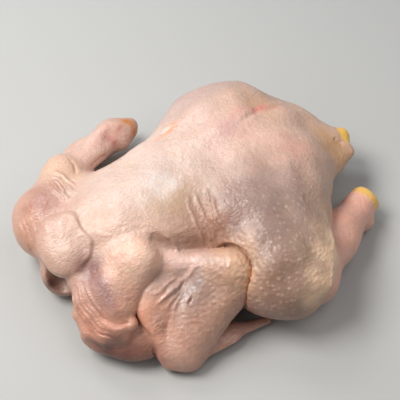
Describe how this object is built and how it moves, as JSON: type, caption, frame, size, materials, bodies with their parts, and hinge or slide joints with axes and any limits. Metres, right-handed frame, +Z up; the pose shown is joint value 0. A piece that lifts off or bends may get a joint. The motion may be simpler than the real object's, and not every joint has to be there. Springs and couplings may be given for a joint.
{
  "type": "whole raw chicken",
  "caption": "Whole dressed raw chicken with its skin on, lying on its breast with its wings folded and its legs stretched back.",
  "frame": {"origin": "middle of the bird's bounding box, on the surface it rests on", "axes": "+X towards the tail and the legs, -X towards the neck, +Z up through the back; one wing and one leg on the -Y side and one of each on the +Y side"},
  "size_m": [0.2852, 0.2338, 0.0835],
  "materials": {
    "skin": "moist raw poultry skin, pale pink and cream with a soft sheen"
  },
  "bodies": {
    "root": {"chicken": "skin"}
  },
  "joints": []
}
